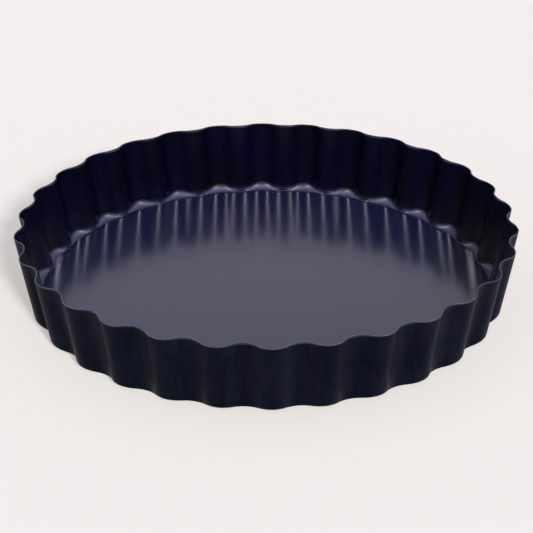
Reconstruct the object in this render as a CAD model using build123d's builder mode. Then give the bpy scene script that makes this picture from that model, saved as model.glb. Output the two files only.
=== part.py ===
from build123d import *
from math import atan2, cos, pi, sin, sqrt
import os

# Loose-bottom tart pan: a fluted steel ring with an inward ledge, and a flat base that lifts out.
# Millimetres, +Z up. The origin is the centre of the underside, on the plane that the pan stands on.
# One outward flute points along -Y, the front of the pan.

# Driving dimensions
rim_crest_radius = 140.0  # outside of the ring at the rim, over the outward flutes
rim_flute_depth = 4.8  # from outward crest to inward trough, at the rim
foot_crest_radius = 132.8  # the same two at the foot, where the wall would meet the ground
foot_flute_depth = 5.5
pan_height = 42.2
rim_dip = 0.9  # how much lower the trimmed rim runs over a crest than in a trough
flute_count = 30
ring_sheet = 0.6
crest_bend_radius = 5.5  # outside of the bend between wall and ledge, under a crest
trough_bend_radius = 1.0  # and under a trough, where the sheet is pressed tighter
ledge_opening_radius = 116.5
base_radius = 124.0
base_sheet = 0.8
cut_edge_round = 0.2  # trimmed edges, dulled before the pan is coated
trim_allowance = 1.0  # height of wall that is trimmed away above the rim
bend_steps = 5

# Worked out
flute_pitch = 2 * pi / flute_count
front = -pi / 2
flare = atan2(rim_crest_radius - foot_crest_radius, pan_height - rim_dip)


def polar(radius, angle):
    """Point of the section plane at a radius and an angle."""
    return (radius * cos(angle), radius * sin(angle))


def flute_arc_radius(crest_radius, trough_radius):
    """Radius of the equal arcs of crest and trough that pass into each other without a corner.

    The centres of two such arcs are two arc radii apart, which gives a quadratic for the radius.
    """
    turn = cos(flute_pitch / 2)
    tip_distance_squared = crest_radius**2 + trough_radius**2 - 2 * crest_radius * trough_radius * turn
    square_term = 2 * (1 - turn)
    half_linear_term = (crest_radius - trough_radius) * (1 + turn)
    root = sqrt(half_linear_term**2 + square_term * tip_distance_squared)
    return (root - half_linear_term) / square_term


def flute_outline(crest_radius, trough_radius, inset):
    """Closed outline of the flutes, as arcs turned out and in by turns, moved inwards by the inset."""
    arc_radius = flute_arc_radius(crest_radius, trough_radius)

    def flank_point(crest_angle, side):
        """Where a crest's arc passes into the trough on one side of it."""
        near = Vector(*polar(crest_radius - arc_radius, crest_angle))
        far = Vector(*polar(trough_radius + arc_radius, crest_angle + side * flute_pitch / 2))
        return near + (far - near).normalized() * (arc_radius - inset)

    for flute in range(flute_count):
        crest_angle = front + flute * flute_pitch
        start = flank_point(crest_angle, -1)
        middle = flank_point(crest_angle, 1)
        end = flank_point(crest_angle + flute_pitch, -1)
        ThreePointArc(start, polar(crest_radius - inset, crest_angle), middle)
        ThreePointArc(middle, polar(trough_radius - inset, crest_angle + flute_pitch / 2), end)


def bend_drop(rise, radius):
    """How far a bend has turned in from the flared wall, at a rise above the flat of the ledge."""
    if rise >= radius * (1 - sin(flare)):
        return 0
    wall_distance = (radius + (rise - radius) * sin(flare)) / cos(flare)
    return wall_distance - sqrt(radius**2 - (radius - rise) ** 2)


def ring_sketch(rise, inset):
    """Filled outline of the ring at a rise above its ledge: no inset outside, the sheet inside."""
    height = rise + inset
    share = height / (pan_height - rim_dip)
    crest_radius = foot_crest_radius + share * (rim_crest_radius - foot_crest_radius)
    flute_depth = foot_flute_depth + share * (rim_flute_depth - foot_flute_depth)
    trough_radius = crest_radius - flute_depth - bend_drop(rise, trough_bend_radius - inset)
    crest_radius -= bend_drop(rise, crest_bend_radius - inset)
    with BuildSketch(Plane.XY.offset(height)) as section:
        with BuildLine():
            flute_outline(crest_radius, trough_radius, inset)
        make_face()
    return section.sketch


def bend_sketches(inset):
    """Outlines up the bend, closer together near the ledge, where it turns fastest."""
    top = (crest_bend_radius - inset) * (1 - sin(flare))
    return [ring_sketch(top * (step / bend_steps) ** 2, inset) for step in range(bend_steps + 1)]


def rim_wave(radius):
    """Closed curve at a radius that dips over every crest, as the trimmed rim does."""
    points = []
    for quarter in range(4 * flute_count):
        dip = rim_dip * (1 + cos(quarter * pi / 2)) / 2
        points.append((*polar(radius, front + quarter * flute_pitch / 4), pan_height - dip))
    with BuildLine() as wave:
        Spline(*points, periodic=True)
    return wave.edge()


# Space inside the ring's wall, down to the ledge, with the inside of the bend
with BuildPart() as ring_inside:
    inner_bend = bend_sketches(ring_sheet)
    loft(inner_bend)
    wall_top = ring_sketch(pan_height + trim_allowance - ring_sheet, ring_sheet)
    loft([inner_bend[-1], wall_top], ruled=True)

# Fluted ring: one pressed sheet, with a flared wall, a bend and a flat ledge turned inwards
with BuildPart() as fluted_ring:
    outer_bend = bend_sketches(0)
    loft(outer_bend)
    loft([outer_bend[-1], ring_sketch(pan_height + trim_allowance, 0)], ruled=True)
    add(ring_inside.part, mode=Mode.SUBTRACT)
    with BuildSketch(Plane.XY):
        Circle(ledge_opening_radius)
    extrude(amount=ring_sheet, mode=Mode.SUBTRACT)
    opening_edges = fluted_ring.edges().filter_by(GeomType.CIRCLE).group_by(SortBy.RADIUS)[-1]
    fillet(opening_edges, cut_edge_round)
    inner_curve = rim_wave(0.8 * rim_crest_radius)
    outer_curve = rim_wave(1.2 * rim_crest_radius)
    split(bisect_by=Face.make_surface_from_curves(inner_curve, outer_curve), keep=Keep.TOP)
fluted_ring.part.label = "fluted_ring"

# Loose base: a flat round plate that rests on the ledge and is pushed up through the ring
with BuildPart() as loose_base:
    with BuildSketch(Plane.XY.offset(ring_sheet)):
        Circle(base_radius)
    extrude(amount=base_sheet)
    fillet(loose_base.edges().filter_by(GeomType.CIRCLE), cut_edge_round)
loose_base.part.label = "loose_base"

os.makedirs("parts", exist_ok=True)
export_step(fluted_ring.part, "parts/fluted_ring.step")
export_step(loose_base.part, "parts/loose_base.step")
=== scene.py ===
"""Loose-bottom tart pan: the looks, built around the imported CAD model. Metres, +Z up."""

from math import atan2, cos, pi, radians, sin, sqrt, tau

import bpy
from mathutils import Matrix, Vector


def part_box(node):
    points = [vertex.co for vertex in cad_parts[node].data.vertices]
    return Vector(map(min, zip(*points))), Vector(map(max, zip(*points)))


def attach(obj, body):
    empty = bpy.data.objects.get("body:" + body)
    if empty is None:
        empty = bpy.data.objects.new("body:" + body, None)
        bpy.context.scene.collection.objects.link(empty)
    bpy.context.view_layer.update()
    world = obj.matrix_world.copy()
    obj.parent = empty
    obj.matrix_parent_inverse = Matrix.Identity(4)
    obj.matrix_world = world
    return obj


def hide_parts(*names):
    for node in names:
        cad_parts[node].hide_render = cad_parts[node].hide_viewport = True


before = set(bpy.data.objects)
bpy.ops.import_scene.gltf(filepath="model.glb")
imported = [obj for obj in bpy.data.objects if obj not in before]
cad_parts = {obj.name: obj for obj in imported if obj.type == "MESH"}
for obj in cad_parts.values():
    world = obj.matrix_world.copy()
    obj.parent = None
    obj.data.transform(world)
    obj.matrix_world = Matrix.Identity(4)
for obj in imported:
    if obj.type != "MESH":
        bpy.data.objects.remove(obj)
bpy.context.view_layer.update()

MM = 0.001

# The ring's shape. Its height comes from the frame, and the other dimensions are those in part.py.
PAN_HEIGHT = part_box("fluted_ring")[1].z
RIM_CREST_RADIUS = 140.0 * MM
RIM_FLUTE_DEPTH = 4.8 * MM
FOOT_CREST_RADIUS = 132.8 * MM
FOOT_FLUTE_DEPTH = 5.5 * MM
RIM_DIP = 0.9 * MM
FLUTE_COUNT = 30
FLUTE_PITCH = tau / FLUTE_COUNT
FRONT = -pi / 2
RING_SHEET = 0.6 * MM
CREST_BEND_RADIUS = 5.5 * MM
TROUGH_BEND_RADIUS = 1.0 * MM
FLARE = atan2(RIM_CREST_RADIUS - FOOT_CREST_RADIUS, PAN_HEIGHT - RIM_DIP)
OPENING_RADIUS = 116.5 * MM
RIM_ROUND = 0.22 * MM  # this rounding of the trimmed rim is only in the visual model
OPENING_ROUND = 0.2 * MM

# The base's shape. All but the rounding of its edge comes from the frame.
base_low, base_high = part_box("loose_base")
BASE_RADIUS = base_high.x
BASE_BOTTOM = base_low.z
BASE_TOP = base_high.z
BASE_ROUND = 0.25 * MM

# How finely the meshes are divided
STEPS_PER_ARC = 14
WALL_STEPS = 16
BEND_STEPS = 12
ROUND_STEPS = 5
LEDGE_STEPS = 4
BASE_STEPS = 360
BASE_RINGS = 12
BASE_HUB_RADIUS = 4 * MM  # inside it, the base's faces meet in one point

# Coating colours
OUTER_DARK = (0.0014, 0.0018, 0.0043, 1)
OUTER_LIGHT = (0.0027, 0.0033, 0.0072, 1)
INNER_DARK = (0.0001, 0.0001, 0.0016, 1)
INNER_LIGHT = (0.0004, 0.0003, 0.0043, 1)
LEDGE_BLUE = (0.0012, 0.0014, 0.012, 1)
# painted highlight: lavender for the overhead light's reflection in the bends at the foot of the
# crests
POCKET_PAINTED_HIGHLIGHT = (0.019, 0.020, 0.042, 1)
RIM_WORN = (0.020, 0.021, 0.034, 1)
BASE_DARK = (0.0009, 0.0022, 0.0122, 1)
BASE_LIGHT = (0.0012, 0.0028, 0.0152, 1)
BASE_WORN = (0.014, 0.015, 0.026, 1)

# Where the coatings change, as the two ends of a fade
LEDGE_FADE = (1.9 * MM, 2.5 * MM)  # heights
# heights where the painted lavender highlight fades out
POCKET_HIGHLIGHT_FADE = (1.9 * MM, 3.0 * MM)
BEND_FADE = (3.4 * MM, 4.8 * MM)
CREST_FADE = (126.9 * MM, 127.7 * MM)  # distances from the axis: troughs stay inside the first
RIM_FADE = (PAN_HEIGHT - RIM_DIP - 0.5 * MM, PAN_HEIGHT - RIM_DIP - 0.1 * MM)
BASE_EDGE_FADE = (BASE_RADIUS - 0.4 * MM, BASE_RADIUS - 0.1 * MM)

# The coatings' noises: where nearly all their values lie, and their scales as repeats in a metre
NOISE_RANGE = (0.3, 0.7)
GRAIN_SCALE = 1500
DRAWN_SCALE = 420
RING_CLOUD_SCALE = 35
BASE_CLOUD_SCALE = 22
DRAWN_STRETCH = 0.06  # share of the height that counts, so that the noise makes upright lines

# Roughness of the coatings
RING_SATIN = (0.17, 0.22)  # inside the pan
RING_MATT = (0.40, 0.50)  # outside
BEND_MATT = 0.18  # added at the foot of the crests
BASE_SATIN = (0.160, 0.190)
BASE_CLOUDING = 0.02  # added in the clouds at the most

# How deep the coating's texture is
OUTER_RELIEF = 0.045 * MM
INNER_RELIEF = 0.012 * MM
BASE_RELIEF = 0.005 * MM

# Studio
FLOOR_REACH = 4.0
FLOOR_DROP = 0.05 * MM  # keeps the floor out of the plane of the pan's underside
FLOOR_COLOUR = (0.22, 0.21, 0.204, 1)
FLOOR_GLOW_COLOUR = (1.0, 0.962, 0.879, 1)
FLOOR_GLOW = 0.42
SKY_COLOUR = (1.02, 0.985, 1.18, 1)
SKY_STRENGTH = 0.94
SIDE_GLOW = 0.2
BACK_GLOW = 0.5
HORIZON_FADE = (-0.05, 0.1)  # upward part of a direction: 0 is level and 1 straight up
OVERHEAD_COLOUR = (0.97, 0.95, 1.15)
GLINT_COLOUR = (1.0, 0.90, 1.12)


# ---------------------------------------------------------------- meshes


def polar(radius, angle):
    return Vector((radius * cos(angle), radius * sin(angle)))


def spread(start, end, steps):
    """Evenly spaced values from start to end, both included."""
    return [start + (end - start) * step / steps for step in range(steps + 1)]


def flute_arc_radius(crest_radius, trough_radius):
    """Radius of the equal arcs of crest and trough that pass into each other without a corner."""
    turn = cos(FLUTE_PITCH / 2)
    product = crest_radius * trough_radius
    tip_distance_squared = crest_radius**2 + trough_radius**2 - 2 * product * turn
    square_term = 2 * (1 - turn)
    half_linear_term = (crest_radius - trough_radius) * (1 + turn)
    root = sqrt(half_linear_term**2 + square_term * tip_distance_squared)
    return (root - half_linear_term) / square_term


def arc(centre, start, end, steps):
    """Points of the shorter arc about a centre, with its start and without its end."""
    first = start - centre
    second = end - centre
    sweep = first.angle_signed(second)
    return [centre + Matrix.Rotation(-sweep * step / steps, 2) @ first for step in range(steps)]


def flute_outline(crest_radius, trough_radius, inset):
    """Points around the flutes, at the given radii or moved inwards by the inset."""
    arc_radius = flute_arc_radius(crest_radius, trough_radius)
    points = []
    for flute in range(FLUTE_COUNT):
        angle = FRONT + flute * FLUTE_PITCH
        crest_centre = polar(crest_radius - arc_radius, angle)
        last_trough_centre = polar(trough_radius + arc_radius, angle - FLUTE_PITCH / 2)
        trough_centre = polar(trough_radius + arc_radius, angle + FLUTE_PITCH / 2)
        next_crest_centre = polar(crest_radius - arc_radius, angle + FLUTE_PITCH)
        reach = arc_radius - inset
        start = crest_centre + (last_trough_centre - crest_centre).normalized() * reach
        middle = crest_centre + (trough_centre - crest_centre).normalized() * reach
        end = next_crest_centre + (trough_centre - next_crest_centre).normalized() * reach
        points += arc(crest_centre, start, middle, STEPS_PER_ARC)
        points += arc(trough_centre, middle, end, STEPS_PER_ARC)
    return points


def bend_drop(rise, radius):
    """How far a bend has turned in from the flared wall, at a rise above the flat of the ledge."""
    if rise >= radius * (1 - sin(FLARE)):
        return 0
    wall_distance = (radius + (rise - radius) * sin(FLARE)) / cos(FLARE)
    return wall_distance - sqrt(max(0, radius**2 - (radius - rise) ** 2))


def ring_outline(rise, sheet):
    """Points around the ring at a rise above its ledge. The sheet is 0 outside, 0.6 mm inside."""
    share = (rise + sheet) / (PAN_HEIGHT - RIM_DIP)
    crest_radius = FOOT_CREST_RADIUS + share * (RIM_CREST_RADIUS - FOOT_CREST_RADIUS)
    depth = FOOT_FLUTE_DEPTH + share * (RIM_FLUTE_DEPTH - FOOT_FLUTE_DEPTH)
    trough_radius = crest_radius - depth - bend_drop(rise, TROUGH_BEND_RADIUS - sheet)
    crest_radius -= bend_drop(rise, CREST_BEND_RADIUS - sheet)
    return flute_outline(crest_radius, trough_radius, sheet)


def bend_rows(sheet):
    """Rows up the bend, from the flat of the ledge to the foot of the wall."""
    top = (CREST_BEND_RADIUS - sheet) * (1 - sin(FLARE))
    rows = []
    for share in spread(0, 1, BEND_STEPS):
        rise = top * share**2
        rows.append([Vector((*point, rise + sheet)) for point in ring_outline(rise, sheet)])
    return rows


def rim_height(point):
    """Height of the trimmed rim, which dips over every crest."""
    phase = FLUTE_COUNT * (atan2(point.y, point.x) - FRONT)
    return PAN_HEIGHT - RIM_DIP * (1 + cos(phase)) / 2


def wall_rows(foot, sheet, below_rim):
    """Rows up the wall, from above the bend's last row to a depth below the rim."""
    top = ring_outline(PAN_HEIGHT - sheet, sheet)
    rows = []
    for share in spread(0, 1, WALL_STEPS)[1:]:
        row = []
        for low, high in zip(foot, top):
            height = low.z + share * (rim_height(high) - below_rim - low.z)
            along = (height - low.z) / (PAN_HEIGHT - low.z)
            row.append(Vector((*low.xy.lerp(high, along), height)))
        rows.append(row)
    return rows


def rim_row(outside, inside, across, below_rim):
    """A row on the trimmed rim: across runs from 0 outside to 1 inside."""
    row = []
    for outer, inner in zip(outside, inside):
        row.append(Vector((*outer.xy.lerp(inner.xy, across), rim_height(outer) - below_rim)))
    return row


def towards_circle(row, radius, share):
    """A flat row part of the way from a row of the flutes to a circle."""
    moved = []
    for point in row:
        on_circle = polar(radius, atan2(point.y, point.x))
        moved.append(Vector((*point.xy.lerp(on_circle, share), point.z)))
    return moved


def circle_row(row, radius, height):
    """A row on a circle at a height, with a point in the direction of each point of another row."""
    return [Vector((*polar(radius, atan2(point.y, point.x)), height)) for point in row]


def ring_rows():
    """Rows of the ring's mesh, once round the sheet's section, and which ones lie inside the pan.

    They run up the outside, over the rim, down the inside, over the ledge and back below it.
    """
    outer_bend = bend_rows(0)
    inner_bend = bend_rows(RING_SHEET)
    outer_wall = wall_rows(outer_bend[-1], 0, RIM_ROUND)
    inner_wall = wall_rows(inner_bend[-1], RING_SHEET, RIM_ROUND)
    rows = outer_bend + outer_wall
    round_share = RIM_ROUND / RING_SHEET
    for angle in spread(0, pi / 2, ROUND_STEPS)[1:]:
        across = round_share * (1 - cos(angle))
        rows.append(rim_row(outer_wall[-1], inner_wall[-1], across, RIM_ROUND * (1 - sin(angle))))
    for angle in spread(pi / 2, 0, ROUND_STEPS)[:-1]:
        across = 1 - round_share * (1 - cos(angle))
        rows.append(rim_row(outer_wall[-1], inner_wall[-1], across, RIM_ROUND * (1 - sin(angle))))
    inside_from = len(rows)
    rows += reversed(inner_wall)
    rows += reversed(inner_bend)
    ledge_end = OPENING_RADIUS + OPENING_ROUND
    for share in spread(0, 1, LEDGE_STEPS)[1:]:
        rows.append(towards_circle(inner_bend[0], ledge_end, share))
    for angle in spread(0, pi, 2 * ROUND_STEPS)[1:-1]:
        height = RING_SHEET / 2 + cos(angle) * RING_SHEET / 2
        rows.append(circle_row(inner_bend[0], ledge_end - OPENING_ROUND * sin(angle), height))
    for share in spread(1, 0, LEDGE_STEPS)[:-1]:
        rows.append(towards_circle(outer_bend[0], ledge_end, share))
    inside_to = inside_from + len(inner_wall) + len(inner_bend) + LEDGE_STEPS
    return rows, range(inside_from, inside_to)


def new_piece(name, vertices, faces):
    """A smooth-shaded object in the scene, made of the given vertices and faces."""
    mesh = bpy.data.meshes.new(name)
    mesh.from_pydata(vertices, [], faces)
    mesh.update()
    mesh.shade_smooth()
    piece = bpy.data.objects.new(name, mesh)
    bpy.context.scene.collection.objects.link(piece)
    return piece


def make_ring():
    """The ring's skin as one closed grid. Its attribute is 1 inside the pan and 0 outside."""
    rows, inside = ring_rows()
    around = len(rows[0])
    vertices = [point for row in rows for point in row]
    faces = []
    for row in range(len(rows)):
        upper = (row + 1) % len(rows)
        below, above = row * around, upper * around
        for step in range(around):
            ahead = (step + 1) % around
            faces.append((below + step, below + ahead, above + ahead, above + step))
    ring = new_piece("fluted_ring_coated", vertices, faces)
    attribute = ring.data.attributes.new("inside", "FLOAT", "POINT")
    values = [float(row in inside) for row in range(len(rows)) for _ in range(around)]
    attribute.data.foreach_set("value", values)
    return ring


def base_profile():
    """Radius and height down the base's section, from beside its centre, over its edge and back."""
    flat_end = BASE_RADIUS - 2 * BASE_ROUND
    profile = [(radius, BASE_TOP) for radius in spread(BASE_HUB_RADIUS, flat_end, BASE_RINGS)]
    corner = BASE_RADIUS - BASE_ROUND
    for angle in spread(pi / 2, 0, ROUND_STEPS):
        height = BASE_TOP - BASE_ROUND * (1 - sin(angle))
        profile.append((corner + BASE_ROUND * cos(angle), height))
    for angle in spread(0, pi / 2, ROUND_STEPS):
        height = BASE_BOTTOM + BASE_ROUND * (1 - sin(angle))
        profile.append((corner + BASE_ROUND * cos(angle), height))
    profile += [(radius, BASE_BOTTOM) for radius in spread(flat_end, BASE_HUB_RADIUS, BASE_RINGS)]
    return profile


def make_base():
    """The base's skin, turned from its profile and closed at both centres."""
    profile = base_profile()
    vertices = []
    for radius, height in profile:
        for step in range(BASE_STEPS):
            vertices.append((*polar(radius, tau * step / BASE_STEPS), height))
    faces = []
    for row in range(len(profile) - 1):
        first, second = row * BASE_STEPS, (row + 1) * BASE_STEPS
        for step in range(BASE_STEPS):
            ahead = (step + 1) % BASE_STEPS
            faces.append((first + step, second + step, second + ahead, first + ahead))
    top_centre = len(vertices)
    vertices += [(0, 0, BASE_TOP), (0, 0, BASE_BOTTOM)]
    last = (len(profile) - 1) * BASE_STEPS
    for step in range(BASE_STEPS):
        ahead = (step + 1) % BASE_STEPS
        faces.append((top_centre, step, ahead))
        faces.append((top_centre + 1, last + ahead, last + step))
    return new_piece("loose_base_coated", vertices, faces)


# ---------------------------------------------------------------- materials


class Nodes:
    """Adds linked nodes to one node tree."""

    def __init__(self, tree):
        self.tree = tree

    def put(self, socket, value):
        """Feeds a socket from another socket, or sets it to a plain value."""
        if isinstance(value, bpy.types.NodeSocket):
            self.tree.links.new(value, socket)
        else:
            socket.default_value = value

    def noise(self, place, scale, detail=2.0, roughness=0.5):
        node = self.tree.nodes.new("ShaderNodeTexNoise")
        self.put(node.inputs["Vector"], place)
        node.inputs["Scale"].default_value = scale
        node.inputs["Detail"].default_value = detail
        node.inputs["Roughness"].default_value = roughness
        return node.outputs["Fac"]

    def remap(self, value, low, high, new_low, new_high):
        """Maps low..high to new_low..new_high, clamped."""
        node = self.tree.nodes.new("ShaderNodeMapRange")
        for socket, number in zip(node.inputs, (value, low, high, new_low, new_high)):
            self.put(socket, number)
        return node.outputs[0]

    def math(self, operation, first, second):
        node = self.tree.nodes.new("ShaderNodeMath")
        node.operation = operation
        self.put(node.inputs[0], first)
        self.put(node.inputs[1], second)
        return node.outputs[0]

    def mix(self, share, first, second, blend="MIX"):
        """Mixes two colours: none of the second at a share of 0, all of its effect at 1."""
        node = self.tree.nodes.new("ShaderNodeMix")
        node.data_type = "RGBA"
        node.blend_type = blend
        self.put(node.inputs["Factor"], share)
        colours = [socket for socket in node.inputs if socket.type == "RGBA"]
        self.put(colours[0], first)
        self.put(colours[1], second)
        return [socket for socket in node.outputs if socket.type == "RGBA"][0]

    def coordinates(self, kind):
        return self.tree.nodes.new("ShaderNodeTexCoord").outputs[kind]

    def split(self, vector):
        node = self.tree.nodes.new("ShaderNodeSeparateXYZ")
        self.put(node.inputs[0], vector)
        return node.outputs

    def join(self, x, y, z):
        node = self.tree.nodes.new("ShaderNodeCombineXYZ")
        for socket, value in zip(node.inputs, (x, y, z)):
            self.put(socket, value)
        return node.outputs[0]

    def from_axis(self, x, y):
        """Distance from the pan's axis."""
        node = self.tree.nodes.new("ShaderNodeVectorMath")
        node.operation = "LENGTH"
        self.put(node.inputs[0], self.join(x, y, 0))
        return node.outputs["Value"]

    def attribute(self, name):
        node = self.tree.nodes.new("ShaderNodeAttribute")
        node.attribute_name = name
        return node.outputs["Fac"]

    def bump(self, height, distance):
        node = self.tree.nodes.new("ShaderNodeBump")
        node.inputs["Strength"].default_value = 1.0
        self.put(node.inputs["Distance"], distance)
        self.put(node.inputs["Height"], height)
        return node.outputs["Normal"]

    def grain(self, place):
        """The fine texture that both coatings have."""
        return self.noise(place, GRAIN_SCALE, 2.0, 0.6)

    def speckle(self, colour, grain):
        """A colour made darker and lighter by the grain."""
        return self.mix(1.0, colour, self.remap(grain, *NOISE_RANGE, 0.5, 1.5), "MULTIPLY")

    def wear(self, colour, share, clouds, least, worn_colour):
        """A colour worn towards another by a share, unevenly, and by no less than least of it."""
        worn = self.math("MULTIPLY", share, self.remap(clouds, 0.35, 0.6, least, 1))
        return self.mix(worn, colour, worn_colour)


def new_material(name):
    """A material, its shader, and what adds nodes to it."""
    material = bpy.data.materials.new(name)
    material.use_nodes = True
    return material, material.node_tree.nodes["Principled BSDF"], Nodes(material.node_tree)


def ring_coating():
    """Satin navy coating: blue black inside, greyer and more matt outside, worn along the rim.

    The small flats at the foot of the crests, outside the base, are more matt. Lavender is painted
    on them as a highlight, for the overhead light's reflection in the bends.
    """
    material, shader, nodes = new_material("ring_coating")
    place = nodes.coordinates("Object")
    inside = nodes.attribute("inside")
    grain = nodes.grain(place)
    clouds = nodes.noise(place, RING_CLOUD_SCALE, 3.0)
    x, y, z = nodes.split(place)
    drawn_place = nodes.join(x, y, nodes.math("MULTIPLY", z, DRAWN_STRETCH))
    drawn = nodes.noise(drawn_place, DRAWN_SCALE)

    streaks = nodes.remap(nodes.math("ADD", clouds, drawn), 0.75, 1.25, 0, 1)
    outer = nodes.mix(streaks, OUTER_DARK, OUTER_LIGHT)
    inner = nodes.mix(streaks, INNER_DARK, INNER_LIGHT)
    colour = nodes.mix(inside, outer, inner)
    ledge = nodes.math("MULTIPLY", inside, nodes.remap(z, *LEDGE_FADE, 1, 0))
    colour = nodes.mix(ledge, colour, LEDGE_BLUE)
    crest_share = nodes.remap(nodes.from_axis(x, y), *CREST_FADE, 0, 1)
    crests = nodes.math("MULTIPLY", inside, crest_share)
    # Painted highlight: lavender on the flats at the foot of the crests, where the bends would
    # reflect the overhead light.
    pocket_highlight = nodes.math("MULTIPLY", crests, nodes.remap(z, *POCKET_HIGHLIGHT_FADE, 1, 0))
    pocket_highlight = nodes.math("MULTIPLY", pocket_highlight, nodes.remap(drawn, 0.3, 0.65, 0.7, 1))
    colour = nodes.mix(pocket_highlight, colour, POCKET_PAINTED_HIGHLIGHT)
    colour = nodes.speckle(colour, grain)
    colour = nodes.wear(colour, nodes.remap(z, *RIM_FADE, 0, 1), clouds, 0.3, RIM_WORN)
    nodes.put(shader.inputs["Base Color"], colour)

    bend = nodes.math("MULTIPLY", crests, nodes.remap(z, *BEND_FADE, BEND_MATT, 0))
    satin = nodes.math("ADD", nodes.remap(grain, *NOISE_RANGE, *RING_SATIN), bend)
    matt = nodes.remap(clouds, *NOISE_RANGE, *RING_MATT)
    satin_inside = nodes.math("MULTIPLY", satin, inside)
    matt_outside = nodes.math("MULTIPLY", matt, nodes.math("SUBTRACT", 1, inside))
    nodes.put(shader.inputs["Roughness"], nodes.math("ADD", satin_inside, matt_outside))
    shader.inputs["IOR"].default_value = 1.5
    shader.inputs["Specular IOR Level"].default_value = 0.3

    height = nodes.math("ADD", grain, nodes.math("MULTIPLY", drawn, 0.8))
    relief = nodes.remap(inside, 0, 1, OUTER_RELIEF, INNER_RELIEF)
    nodes.put(shader.inputs["Normal"], nodes.bump(height, relief))
    return material


def base_coating():
    """Satin navy coating with a fine grain, worn along the edge."""
    material, shader, nodes = new_material("base_coating")
    place = nodes.coordinates("Object")
    grain = nodes.grain(place)
    clouds = nodes.noise(place, BASE_CLOUD_SCALE, 3.0)
    x, y = nodes.split(place)[:2]

    colour = nodes.speckle(nodes.mix(clouds, BASE_DARK, BASE_LIGHT), grain)
    edge_share = nodes.remap(nodes.from_axis(x, y), *BASE_EDGE_FADE, 0, 1)
    colour = nodes.wear(colour, edge_share, clouds, 0.2, BASE_WORN)
    nodes.put(shader.inputs["Base Color"], colour)

    fine = nodes.remap(grain, *NOISE_RANGE, *BASE_SATIN)
    coarse = nodes.remap(clouds, *NOISE_RANGE, 0, BASE_CLOUDING)
    nodes.put(shader.inputs["Roughness"], nodes.math("ADD", fine, coarse))
    shader.inputs["IOR"].default_value = 1.53
    nodes.put(shader.inputs["Normal"], nodes.bump(grain, BASE_RELIEF))
    return material


# ---------------------------------------------------------------- studio


def make_floor():
    """Pale floor that gives off most of its own light, so that shadows on it stay light."""
    corners = [(-1, -1), (1, -1), (1, 1), (-1, 1)]
    vertices = [(x * FLOOR_REACH, y * FLOOR_REACH, -FLOOR_DROP) for x, y in corners]
    floor = new_piece("studio_floor", vertices, [(0, 1, 2, 3)])
    material, shader, _ = new_material("studio_floor_paint")
    shader.inputs["Base Color"].default_value = FLOOR_COLOUR
    shader.inputs["Roughness"].default_value = 1.0
    shader.inputs["Specular IOR Level"].default_value = 0.0
    shader.inputs["Emission Color"].default_value = FLOOR_GLOW_COLOUR
    shader.inputs["Emission Strength"].default_value = FLOOR_GLOW
    floor.data.materials.append(material)
    floor.visible_glossy = False
    floor.visible_diffuse = False


def make_world():
    """Even lavender white above the horizon, and a faint glow below it at the sides and behind."""
    world = bpy.data.worlds.new("studio")
    bpy.context.scene.world = world
    world.use_nodes = True
    background = world.node_tree.nodes["Background"]
    nodes = Nodes(world.node_tree)
    x, y, z = nodes.split(nodes.coordinates("Generated"))
    sides = nodes.math("MULTIPLY", nodes.math("MULTIPLY", x, x), SIDE_GLOW)
    behind = nodes.math("MULTIPLY", nodes.math("MAXIMUM", y, 0), BACK_GLOW)
    below = nodes.math("ADD", sides, behind)
    nodes.put(background.inputs["Strength"], nodes.remap(z, *HORIZON_FADE, below, SKY_STRENGTH))
    background.inputs["Color"].default_value = SKY_COLOUR


def new_lamp(name, light, direction):
    """A lamp in the scene that shines on the pan from the given direction."""
    lamp = bpy.data.objects.new(name, light)
    bpy.context.scene.collection.objects.link(lamp)
    lamp.rotation_euler = direction.to_track_quat("Z", "Y").to_euler()
    return lamp


def make_sun(name, azimuth, elevation, width, strength):
    """A distant, soft light that reflections leave out. Azimuth 0 is the front and 90 the right."""
    light = bpy.data.lights.new(name, "SUN")
    light.energy = strength
    light.angle = radians(width)
    across = polar(cos(radians(elevation)), FRONT + radians(azimuth))
    lamp = new_lamp(name, light, Vector((*across, sin(radians(elevation)))))
    lamp.visible_glossy = False


def make_softbox(name, place, size, radiance, colour):
    """A square lamp that shows only in reflections, and looks equally bright at any size."""
    light = bpy.data.lights.new(name, "AREA")
    light.shape = "SQUARE"
    light.size = size
    light.energy = radiance * pi * size**2
    light.color = colour
    lamp = new_lamp(name, light, Vector(place))
    lamp.location = place
    lamp.visible_camera = False
    lamp.visible_diffuse = False


def make_camera():
    """The camera at the photo's angle, where the pan's outline and rim fit those in the photo."""
    elevation = radians(27.839)
    yaw = radians(1.198)
    roll = radians(-0.233)
    distance = 0.9740
    aim = Vector((0.02 * MM, 0, 13.06 * MM))
    camera_data = bpy.data.cameras.new("camera")
    camera_data.lens = 116.27
    camera_data.sensor_width = 36
    camera = bpy.data.objects.new("camera", camera_data)
    bpy.context.scene.collection.objects.link(camera)
    turn = Matrix.Rotation(-yaw, 4, "Z") @ Matrix.Rotation(pi / 2 - elevation, 4, "X")
    turn = turn @ Matrix.Rotation(roll, 4, "Z")
    back = turn.to_3x3() @ Vector((0, 0, 1))
    camera.matrix_world = Matrix.Translation(aim + back * distance) @ turn
    bpy.context.scene.camera = camera


bpy.context.scene.view_settings.view_transform = "Standard"

ring = make_ring()
base = make_base()
ring.data.materials.append(ring_coating())
base.data.materials.append(base_coating())
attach(ring, "ring")
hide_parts("fluted_ring")
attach(base, "base")
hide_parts("loose_base")

make_floor()
make_world()
make_sun("key", azimuth=18, elevation=28, width=9, strength=8.3)
make_softbox("overhead", (0, 0, 0.9), size=1.0, radiance=2.5, colour=OVERHEAD_COLOUR)
for side in (-1, 1):
    place = (side * 0.347, -0.187, 0.5)
    make_softbox(f"glint_{side}", place, size=0.1, radiance=130, colour=GLINT_COLOUR)
make_camera()
